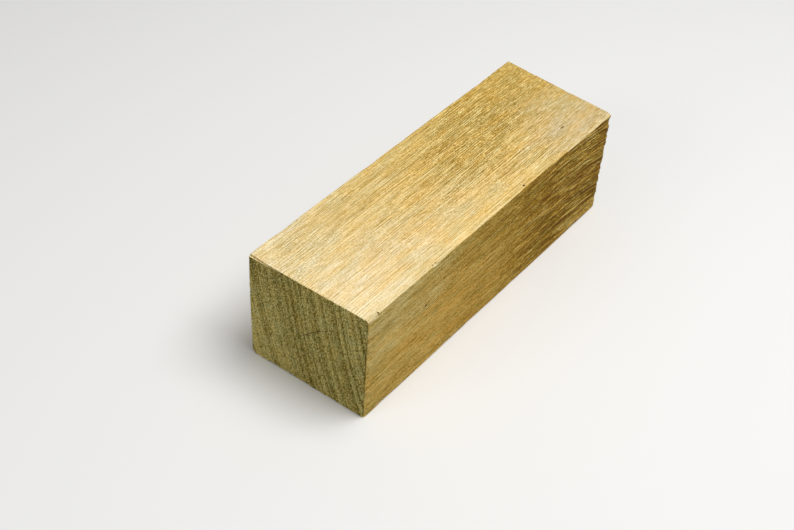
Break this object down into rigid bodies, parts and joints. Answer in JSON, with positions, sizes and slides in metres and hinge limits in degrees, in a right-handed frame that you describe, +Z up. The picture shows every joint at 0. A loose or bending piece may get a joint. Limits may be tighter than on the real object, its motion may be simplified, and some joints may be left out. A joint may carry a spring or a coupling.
{
  "type": "wooden block",
  "caption": "Solid offcut of square-edged timber, sawn by hand at both ends, with a drying check, knocked edges and borer holes: a stand, stop, packer or spacer for a bench or desk.",
  "frame": {"origin": "centre of the underside's bounding box, on the surface that the block stands on", "axes": "+X along the grain from the clean near end to the torn far end, +Y to the block's left as seen from its near end, +Z up"},
  "size_m": [0.216, 0.07, 0.062],
  "materials": {
    "wood": "bare, unfinished pale timber straight from the saw: straw on the top and honey on the sides with fine long grain, olive-brown end grain with slanting growth rings, matt"
  },
  "bodies": {
    "root": {"wooden_block": "wood"}
  },
  "joints": []
}
